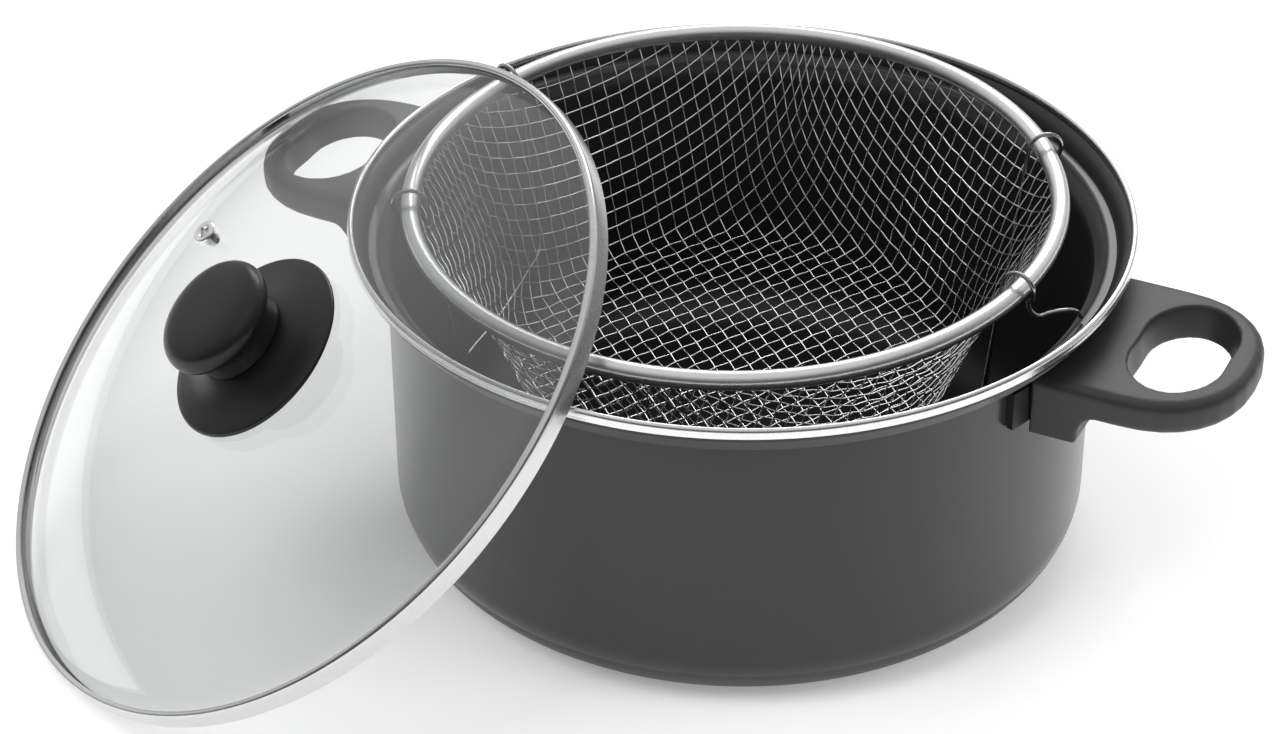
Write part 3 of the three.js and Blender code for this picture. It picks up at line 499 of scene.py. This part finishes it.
# %% Draw the bowl's outline
BOWL_FLOOR, BOWL_FLOOR_R, BOWL_CORNER = -60.0, 73.0, 6.0
MOUTH_INSET, TUBE_CLEAR = 2.6, 0.3
BULGE_IN, BULGE_DOWN = 14.9, 23.5
WALL_POINTS, BEYOND_SHARES = 40, (0.4, 1.0)
BOWL_TOP = -math.sqrt((TUBE_R + TUBE_CLEAR) ** 2 - MOUTH_INSET ** 2)
mouth = np.array((RING_R - MOUTH_INSET, BOWL_TOP))
foot = (BOWL_FLOOR_R + BOWL_CORNER / 4, BOWL_FLOOR + BOWL_CORNER)
bulge = (mouth[0] - BULGE_IN, -BULGE_DOWN)
corner_line = swept((BOWL_FLOOR_R - BOWL_CORNER, BOWL_FLOOR), (BOWL_FLOOR_R, BOWL_FLOOR), foot, 12)
wall_line = swept(foot, bulge, mouth, WALL_POINTS)[1:]
last_step = wall_line[-1] - wall_line[-2]
beyond = [mouth + last_step * WALL_POINTS * share for share in BEYOND_SHARES]
bowl_line = np.vstack([[(0, BOWL_FLOOR)], corner_line, wall_line, beyond])
SLOPE_SPAN, TINY = 0.2, 1e-6


def height_at(radius):
    return np.interp(radius, bowl_line[:, 0], bowl_line[:, 1])


def upright(point):
    radius = max(math.hypot(point[0], point[1]), TINY)
    slope = (height_at(radius + SLOPE_SPAN) - height_at(radius - SLOPE_SPAN)) / (2 * SLOPE_SPAN)
    return np.array((-slope * point[0] / radius, -slope * point[1] / radius, 1.0))


print("bowl is", round(BOWL_TOP - BOWL_FLOOR, 1), "mm deep")

# %% [markdown]
# ## The net of crossings
# The bowl is one square of woven wire pressed into shape. Its wires keep their length, so the squares
# turn to diamonds on the wall, and both sets of wires curve. That is a net of equal steps: two wires
# cross at the middle of the floor, and every next crossing lies one step from its two neighbours.
# Where it lies is found by a few rounds of correction, because three conditions meet in it: the two
# steps, and the surface of the bowl.

# %% Follow the middle wires
PITCH, REACH = 5.35, 31
WARP, WEFT = math.radians(113), math.radians(36)
along = np.concatenate([[0], np.cumsum(np.linalg.norm(np.diff(bowl_line, axis=0), axis=1))])


def middle_wire(way):
    distances = PITCH * np.arange(REACH + 1)
    radii = np.interp(distances, along, bowl_line[:, 0])
    heights = np.interp(distances, along, bowl_line[:, 1])
    return np.column_stack((radii * math.cos(way), radii * math.sin(way), heights))


to_mouth = np.interp(mouth[0], bowl_line[:, 0], along)
print("a middle wire runs", round(to_mouth), "mm from the floor's middle to the mouth")

# %% Settle the other crossings
ROUNDS, LONGEST_MOVE, CLOSE_ENOUGH = 12, 2.5, 1e-5


def settle(guess, first, second):
    point = guess.copy()
    for _ in range(ROUNDS):
        rows = np.array([2 * (point - first), 2 * (point - second), upright(point)])
        miss = np.array([
            np.dot(point - first, point - first) - PITCH ** 2,
            np.dot(point - second, point - second) - PITCH ** 2,
            point[2] - height_at(max(math.hypot(point[0], point[1]), TINY)),
        ])
        move = np.linalg.lstsq(rows, miss, rcond=None)[0]
        length = np.linalg.norm(move)
        point -= move * min(1, LONGEST_MOVE / max(length, CLOSE_ENOUGH))
        if length < CLOSE_ENOUGH:
            break
    return point


net = {}
for warp_side, weft_side in ((1, 1), (1, -1), (-1, 1), (-1, -1)):
    warp_wire = middle_wire(WARP if warp_side > 0 else WARP + math.pi)
    weft_wire = middle_wire(WEFT if weft_side > 0 else WEFT + math.pi)
    for i in range(REACH + 1):
        net[(warp_side * i, 0)] = warp_wire[i]
        net[(0, weft_side * i)] = weft_wire[i]
    for i in range(1, REACH + 1):
        for j in range(1, REACH + 1):
            first = net[(warp_side * (i - 1), weft_side * j)]
            second = net[(warp_side * i, weft_side * (j - 1))]
            old = net[(warp_side * (i - 1), weft_side * (j - 1))]
            net[(warp_side * i, weft_side * j)] = settle(first + second - old, first, second)
print("net has", len(net), "crossings")

# %% [markdown]
# ## Weaving the wires
# A woven wire goes over one crossing and under the next, so it is crimped. Each wire is a line through
# its crossings, lifted and lowered in turn, and ends under the rim tube. The lines are made round by
# giving a curve thickness, and are then made a mesh, one piece for each direction.

# %% Find where a wire ends
TUCK, TUBE_SIDE, END_TUCK, SHORTEST_END = 1.2, 0.5, 1.3, 0.02


def surface_normal(point):
    normal = upright(point)
    return normal / np.linalg.norm(normal)


def under_tube(point):
    return point[2] < BOWL_TOP + TUCK and math.hypot(point[0], point[1]) < RING_R - TUBE_SIDE


def tube_end(low, high):
    share = (BOWL_TOP + END_TUCK - low[2]) / max(high[2] - low[2], TINY)
    return low + (high - low) * min(max(share, SHORTEST_END), 1)


print("wires end at height", round(BOWL_TOP + END_TUCK, 1), "mm")

# %% Run and crimp the wires
WIRE_R, CRIMP = 0.25, 0.25
CRIMP_SHARES = ((0.25, 0.15), (0.5, 0.5), (0.75, 0.85))
FEWEST_CROSSINGS = 3


def wire_runs(keys, phase):
    lifts = [CRIMP if (sum(key) + phase) % 2 == 0 else -CRIMP for key in keys]
    points = [net[key] + surface_normal(net[key]) * lift for key, lift in zip(keys, lifts)]
    runs, run = [], []
    for k, point in enumerate(points):
        if under_tube(net[keys[k]]):
            if not run and k and points[k - 1][2] > point[2]:
                run.append((tube_end(point, points[k - 1]), 0.0))
            run.append((point, lifts[k]))
        elif run:
            if point[2] > run[-1][0][2]:
                run.append((tube_end(run[-1][0], point), 0.0))
            runs.append(run)
            run = []
    if run:
        runs.append(run)
    return [run for run in runs if len(run) >= FEWEST_CROSSINGS]


def crimped(run):
    line = []
    for (here, lift), (there, next_lift) in zip(run, run[1:]):
        line.append(here)
        for share, ease in CRIMP_SHARES:
            flat = here + (there - here) * share
            line.append(flat + surface_normal(flat) * (next_lift - lift) * (ease - share))
    line.append(run[-1][0])
    return line


print("wire is", 2 * WIRE_R, "mm thick")


# %% Weave both directions
def meshed(piece):
    pick(piece)
    bpy.ops.object.convert(target="MESH")
    bpy.ops.object.shade_smooth()
    piece = bpy.context.object
    print(piece.name, "has", len(piece.data.polygons), "faces")
    return piece


def weave(name, phase, swap):
    vertices, edges = [], []
    for row in range(-REACH, REACH + 1):
        keys = [(row, k) if swap else (k, row) for k in range(-REACH, REACH + 1)]
        for run in wire_runs(keys, phase):
            line = crimped(run)
            start = len(vertices)
            vertices.extend([tuple(point * MM) for point in line])
            edges.extend([(start + i, start + i + 1) for i in range(len(line) - 1)])
    mesh = bpy.data.meshes.new(name)
    mesh.from_pydata(vertices, edges, [])
    piece = bpy.data.objects.new(name, mesh)
    scene.collection.objects.link(piece)
    pick(piece)
    bpy.ops.object.convert(target="CURVE")
    piece = bpy.context.object
    piece.data.bevel_depth = WIRE_R * MM
    piece.data.bevel_resolution = 1
    piece.data.use_fill_caps = True
    return meshed(piece)


for name, phase, swap in (("cloth_warp", 0, False), ("cloth_weft", 1, True)):
    cloth = weave(name, phase, swap)
    cloth.data.materials.append(wire_steel)
    fit_out(cloth, "basket", ["basket_mesh"], basket_frame)

# %% [markdown]
# ## The basket's folding wire handles
# Each handle is one length of bright wire: an eye curled round the rim tube, a leg down beside the
# bowl, a bow across, the other leg and its eye, and a tail that reaches out to the pot's ledge. A
# curve with round thickness is the quickest way to bend wire, and it is made a mesh at the end.

# %% Sizes of a wire handle
EYE_R, EYE_LIFT, HANDLE_WIRE_R = 5.4, 1.0, 0.75
DROP, KNEE, KNEE_SHARE, KNEE_RISE = 62.0, 12.0, 0.15, 2.6
HALF_SPREAD, LEG_LEAN, TAIL_SWEEP = math.radians(23.5), math.radians(6.8), math.radians(6.2)
TAIL_SEAT, TAIL_CLEAR = 2.4, 1.25
TAIL_EYE_TURNS, FAR_EYE_TURNS = range(-45, 181, 25), range(180, -111, -24)
LEG_DEPTHS = (12, 25, 38, DROP - KNEE)
TAIL_SHARES = ((0.91, 0.92, 0.8), (0.76, 0.63, 0.64), (0.53, 0.4, 0.68), (0.4, 0.15, 0.66))


def around(angle, outward, height):
    radius = RING_R + outward
    return Vector((radius * math.cos(angle), radius * math.sin(angle), height))


def eye_point(angle, turn):
    turn = math.radians(turn)
    return around(angle, EYE_R * math.cos(turn), EYE_LIFT + EYE_R * math.sin(turn))


def leg_point(angle, depth):
    return around(angle, -EYE_R - depth * math.tan(LEG_LEAN), -depth)


print("each handle hangs", DROP, "mm down")

# %% [markdown]
# ## The tail of a wire handle
# The tail's tip lies just over the pot's ledge, which is level while the basket leans. So the tip is
# placed over the ledge first, and its height is then worked out in the basket's own leaning frame.
# The tail swings up from there to the eye in a soft wave.


# %% Place the tail
def tail_points(tail_eye):
    spot = tail_eye + TAIL_SWEEP
    seat = LEDGE_R - TAIL_SEAT
    tip = Vector((seat * math.cos(spot), seat * math.sin(spot), 0)) - BASKET_SHIFT
    uphill = tip.x * math.cos(BASKET_LEAN_WAY) + tip.y * math.sin(BASKET_LEAN_WAY)
    level = LEDGE_Z + TAIL_CLEAR - (POT_TOP + BASKET_RISE)
    tip.z = (level - uphill * math.sin(BASKET_LEAN)) / math.cos(BASKET_LEAN)
    reach = tip.x * math.cos(tail_eye) + tip.y * math.sin(tail_eye) - RING_R
    sweep = tip.y * math.cos(tail_eye) - tip.x * math.sin(tail_eye)
    sideways = Vector((-math.sin(tail_eye), math.cos(tail_eye), 0))
    wave = [around(tail_eye, reach * out, tip.z * fall) + sideways * sweep * side
            for out, side, fall in TAIL_SHARES]
    return [tip, *wave]


print("a tail's tip clears the ledge by", TAIL_CLEAR - HANDLE_WIRE_R, "mm")


# %% Follow a whole handle
def handle_points(azimuth):
    tail_eye, far_eye = azimuth - HALF_SPREAD, azimuth + HALF_SPREAD
    feet = [leg_point(angle, DROP) for angle in (tail_eye, far_eye)]
    inset = KNEE / (feet[1] - feet[0]).length
    points = tail_points(tail_eye)
    points += [eye_point(tail_eye, turn) for turn in TAIL_EYE_TURNS]
    points += [leg_point(tail_eye, depth) for depth in LEG_DEPTHS]
    near_knee = [(KNEE_SHARE, KNEE_RISE), (1, 0)]
    for foot, other, knee in ((feet[0], feet[1], near_knee), (feet[1], feet[0], near_knee[::-1])):
        points += [foot.lerp(other, share * inset) + Vector((0, 0, rise)) for share, rise in knee]
    points += [leg_point(far_eye, depth) for depth in reversed(LEG_DEPTHS)]
    points += [eye_point(far_eye, turn) for turn in FAR_EYE_TURNS]
    return points


print("a handle bends through", len(handle_points(0)), "knots")


# %% Bend both handles
def bent_wire(name, points, radius):
    curve = bpy.data.curves.new(name, "CURVE")
    curve.dimensions = "3D"
    curve.bevel_depth = radius * MM
    curve.bevel_resolution = 3
    curve.resolution_u = 5
    curve.use_fill_caps = True
    line = curve.splines.new("BEZIER")
    line.bezier_points.add(len(points) - 1)
    for knot, place in zip(line.bezier_points, points):
        knot.co = place * MM
        knot.handle_left_type = knot.handle_right_type = "AUTO"
    piece = bpy.data.objects.new(name, curve)
    scene.collection.objects.link(piece)
    return meshed(piece)


for side, azimuth in (("right", -11.5), ("left", 159.3)):
    bail = bent_wire("wire_handle_" + side, handle_points(math.radians(azimuth)), HANDLE_WIRE_R)
    # The handle wire's dark colour is painted shade, not a darker steel.
    bail.data.materials.append(shaded_handle_wire)
    fit_out(bail, "bail_" + side, ["basket_bail_" + side], basket_frame)

# %% [markdown]
# ## The lid's glass
# The lid is a shallow dome: nearly flat on top and steeper by the band. Both of its faces are turned
# from one formula, so the glass keeps an even thickness. The screw and the steam vent go through
# drilled holes, which are cut with the Boolean modifier.

# %% Turn the glass
LID_R, BAND_H, GLASS, RISE = 118.4, 7.0, 3.5, 16.0
GLASS_TOP, GLASS_INSET, GLASS_FLAT, DOME_POWER = -1.1, 1.1, 3.4, 3
GLASS_EDGE = LID_R - GLASS_INSET
DOME_R = GLASS_EDGE - GLASS_FLAT


def dome_at(radius):
    return GLASS_TOP + (RISE - GLASS_TOP) * (1 - (radius / DOME_R) ** DOME_POWER)


dome = [DOME_R * k / 32 for k in range(33)]
glass_outline = (
    [(radius, dome_at(radius) - GLASS) for radius in dome]
    + [(GLASS_EDGE, GLASS_TOP - GLASS), (GLASS_EDGE, GLASS_TOP)]
    + [(radius, dome_at(radius)) for radius in reversed(dome)]
)
lid_glass = turned("lid_dome", glass_outline, steps=160, sharp=40)

# %% Drill the glass
VENT_R, VENT_WAY = DOME_R - 43.2, math.radians(264.9)
SCREW_HOLE, VENT_HOLE, DRILL_LENGTH = 2.5, 2.6, 60
vent_place = Vector((VENT_R * math.cos(VENT_WAY), VENT_R * math.sin(VENT_WAY), 0)) * MM
for radius, place in ((SCREW_HOLE, Vector()), (VENT_HOLE, vent_place)):
    pick(None)
    bpy.ops.mesh.primitive_cylinder_add(
        vertices=32, radius=radius * MM, depth=DRILL_LENGTH * MM, location=place)
    cut(lid_glass, bpy.context.object)
lid_glass.data.materials.clear()
lid_glass.data.materials.append(glass)
fit_out(lid_glass, "lid", ["lid_glass"], lid_frame)
print("glass is", GLASS, "mm thick")

# %% [markdown]
# ## The lid's steel band and vent
# A rolled stainless band grips the edge of the glass, with a soft round shoulder. The steam vent is a
# small eyelet through the glass, with its wide round collar on the outer face.

# %% Turn the band
BAND_LIP, BAND_WALL, BAND_SLACK = 2.6, 0.8, 0.06
low_lip = GLASS_TOP - GLASS - 0.3
band_side = LID_R - BAND_WALL
band_outline = [
    (LID_R - BAND_LIP, low_lip - BAND_WALL),
    (LID_R - 1.9, low_lip - BAND_WALL),
    (LID_R - 1.1, low_lip - 1.4),
    (band_side, -BAND_H),
    (LID_R - 0.25, -BAND_H),
    (LID_R - BAND_SLACK, -BAND_H + 0.3),
    (LID_R - BAND_SLACK, -2.2),
    (LID_R - 0.1, -1.6),
    *arc((LID_R - 1.4, -1.3), 1.3, 0, 100, 9)[1:],
    (LID_R - 2.1, -0.15),
    (LID_R - 2.45, -0.4),
    (LID_R - BAND_LIP, -BAND_WALL),
    (band_side, -BAND_WALL - 0.05),
    (band_side, low_lip),
    (LID_R - BAND_LIP, low_lip),
    (LID_R - BAND_LIP, low_lip - BAND_WALL),
]
band = turned("lid_rim_band", band_outline, steps=192)
# The band's darker colour is painted shade, not a darker steel.
band.data.materials.append(shaded_band_steel)
fit_out(band, "lid", ["lid_band"], lid_frame)

# %% Turn the vent eyelet
COLLAR_R, SHANK_R, VENT_BORE = 4.4, 2.4, 1.6
vent_top = dome_at(VENT_R - COLLAR_R) + 0.5
vent_low = dome_at(VENT_R + COLLAR_R) - GLASS + 0.4
vent_outline = [
    (VENT_BORE, vent_low + 0.1),
    (VENT_BORE + 0.3, vent_low - 0.2),
    (SHANK_R - 0.2, vent_low - 0.2),
    (SHANK_R, vent_low + 0.2),
    (SHANK_R, vent_top),
    (COLLAR_R, vent_top),
    *arc((COLLAR_R - 1, vent_top), 0.95, 10, 90, 4),
    (VENT_BORE + 0.4, vent_top + 0.6),
    (VENT_BORE, vent_top + 0.1),
    (VENT_BORE, vent_low + 0.1),
]
eyelet = turned("vent_ring", vent_outline, steps=40)
eyelet.data.materials.append(stainless)
fit_out(eyelet, "lid", ["vent_eyelet"], lid_frame @ Matrix.Translation(vent_place))

# %% [markdown]
# ## The knob
# The knob is moulded in two pieces: a thin round skirt that sweeps up to the neck, and a grip like a
# mushroom with a nearly flat top. Both are turned, with soft edges as a mould gives them.

# %% Turn the skirt
SKIRT_R, SKIRT_H, NECK_R, KNOB_BORE = 31.8, 6, 15.2, 5.5
KNOB_GAP, GASKET = 0.3, 0.8
skirt_low = RISE + KNOB_GAP + GASKET + KNOB_GAP
skirt_top = skirt_low + SKIRT_H
edge_low = dome_at(SKIRT_R) + 0.6
skirt_outline = [
    (KNOB_BORE, skirt_low),
    (NECK_R - 1.4, skirt_low),
    (SKIRT_R - 0.8, edge_low),
    *arc((SKIRT_R - 1, edge_low + 1.0), 0.98, -60, 78, 8),
    (SKIRT_R - 3.4, edge_low + 2.45),
    (SKIRT_R - 7.3, edge_low + 3.5),
    (SKIRT_R - 10.8, edge_low + 4.4),
    (NECK_R + 3, skirt_top - 1.3),
    (NECK_R + 1.2, skirt_top - 0.55),
    (NECK_R, skirt_top),
    (KNOB_BORE, skirt_top),
    (KNOB_BORE, skirt_low),
]
skirt = turned("knob_skirt_disc", skirt_outline, steps=128, sharp=40)
skirt.data.materials.append(knob_resin)
fit_out(skirt, "lid", ["knob_skirt"], lid_frame)

# %% Turn the grip
NECK_H, CAP_R, CAP_H, CAP_ROUND = 7.6, 19.7, 10, 4.4
BUSH_DEPTH, BUSH_BORE = 12.3, 5.3
grip_low = skirt_top + KNOB_GAP
cap_low = grip_low + NECK_H
bush_top = skirt_low + BUSH_DEPTH
grip_outline = [
    (BUSH_BORE, grip_low),
    (NECK_R - 0.3, grip_low),
    (NECK_R, grip_low + 0.3),
    (NECK_R - 0.1, grip_low + 4.2),
    (NECK_R, grip_low + 6.2),
    (NECK_R + 0.4, cap_low - 0.1),
    *arc((CAP_R - CAP_ROUND, cap_low + CAP_ROUND), CAP_ROUND, -78, 62, 14),
    (NECK_R + 0.4, cap_low + 8.85),
    (12.0, cap_low + 9.45),
    (8.0, cap_low + 9.8),
    (4.0, cap_low + 9.95),
    (0, cap_low + CAP_H),
    (0, bush_top),
    (BUSH_BORE, bush_top),
    (BUSH_BORE, grip_low),
]
grip = turned("knob_mushroom", grip_outline, steps=128, sharp=40)
grip.data.materials.append(knob_resin)
fit_out(grip, "lid", ["knob_grip"], lid_frame)

# %% [markdown]
# ## The side handles
# Each handle is moulded in one piece: a flat loop with a deep block where it meets the pot. The
# measured handle is copied, and its hole is filled and opened again, with walls that taper in towards
# the bottom. The tool for both has softly squared sides. A voxel remesh then makes one even skin, and
# smoothing rounds each edge.

# %% Make the finger hole's tool
HANDLE_TOP = POT_TOP - 12.4
SQUARENESS = 2.6
PLUG = {"out": 146, "side": 0, "down": 5.6, "low": 18.0, "high": 18.0, "depth": 11.0, "stretch": 1.55}
HOLE = {"out": 148.4, "side": 1.0, "down": 6.8, "low": 12.6, "high": 14.4, "depth": 14.0, "stretch": 1.76}


def squared_cone(shape, turn):
    out_way = Vector((math.cos(turn), math.sin(turn), 0))
    side_way = Vector((-math.sin(turn), math.cos(turn), 0))
    place = shape["out"] * out_way + shape["side"] * side_way
    place.z = HANDLE_TOP - shape["down"]
    pick(None)
    bpy.ops.mesh.primitive_cone_add(
        vertices=96, radius1=shape["low"] * MM, radius2=shape["high"] * MM, depth=shape["depth"] * MM,
        location=place * MM, rotation=(0, 0, turn), scale=(1, shape["stretch"], 1))
    tool = bpy.context.object
    for corner in tool.data.vertices:
        reach = max(math.hypot(corner.co.x, corner.co.y), TINY * MM)
        along_x = abs(corner.co.x / reach) ** SQUARENESS
        along_y = abs(corner.co.y / reach) ** SQUARENESS
        fullness = (along_x + along_y) ** (-1 / SQUARENESS)
        corner.co.x *= fullness
        corner.co.y *= fullness
    return tool


print("finger hole is", round(2 * HOLE["low"] * HOLE["stretch"], 1), "mm wide below")

# %% Shape both handles
SKIN_STEP, SOFTENING, SOFTEN_ROUNDS = 0.75, 0.5, 6


def moulded_handle(side, azimuth):
    mesh = bpy.data.objects["handle_" + side].data.copy()
    mesh.materials.clear()
    piece = bpy.data.objects.new("moulded_handle_" + side, mesh)
    scene.collection.objects.link(piece)
    pick(piece)
    bpy.ops.object.mode_set(mode="EDIT")
    bpy.ops.mesh.select_all(action="SELECT")
    bpy.ops.mesh.remove_doubles(threshold=WELD * MM)
    bpy.ops.object.mode_set(mode="OBJECT")
    turn = math.radians(azimuth)
    cut(piece, squared_cone(PLUG, turn), "UNION")
    cut(piece, squared_cone(HOLE, turn), "DIFFERENCE")
    skin = piece.modifiers.new("skin", "REMESH")
    skin.mode = "VOXEL"
    skin.voxel_size = SKIN_STEP * MM
    bpy.ops.object.modifier_apply(modifier=skin.name)
    soften = piece.modifiers.new("soften", "SMOOTH")
    soften.factor = SOFTENING
    soften.iterations = SOFTEN_ROUNDS
    bpy.ops.object.modifier_apply(modifier=soften.name)
    bpy.ops.object.shade_smooth()
    piece.data.materials.append(resin)
    fit_out(piece, "pot", ["handle_" + side])
    print(piece.name, "has", len(piece.data.polygons), "faces")


for side, azimuth in (("right", -26.4), ("left", 153.6)):
    moulded_handle(side, azimuth)

# %% [markdown]
# ## Small measured pieces
# The brackets, screws, washer, bush and gasket already have their right shape. They keep the measured
# solids and only get a finish.

# %% Finish the small pieces
for node, material in (
    ("handle_bracket_right", bracket_steel), ("handle_bracket_left", bracket_steel),
    ("handle_screw_right", plated), ("handle_screw_left", plated),
    ("knob_washer", plated), ("knob_screw", plated),
    ("knob_insert", brass), ("knob_gasket", rubber),
):
    piece = bpy.data.objects[node]
    piece.data.materials.clear()
    piece.data.materials.append(material)
    print(node, "is", material.name)
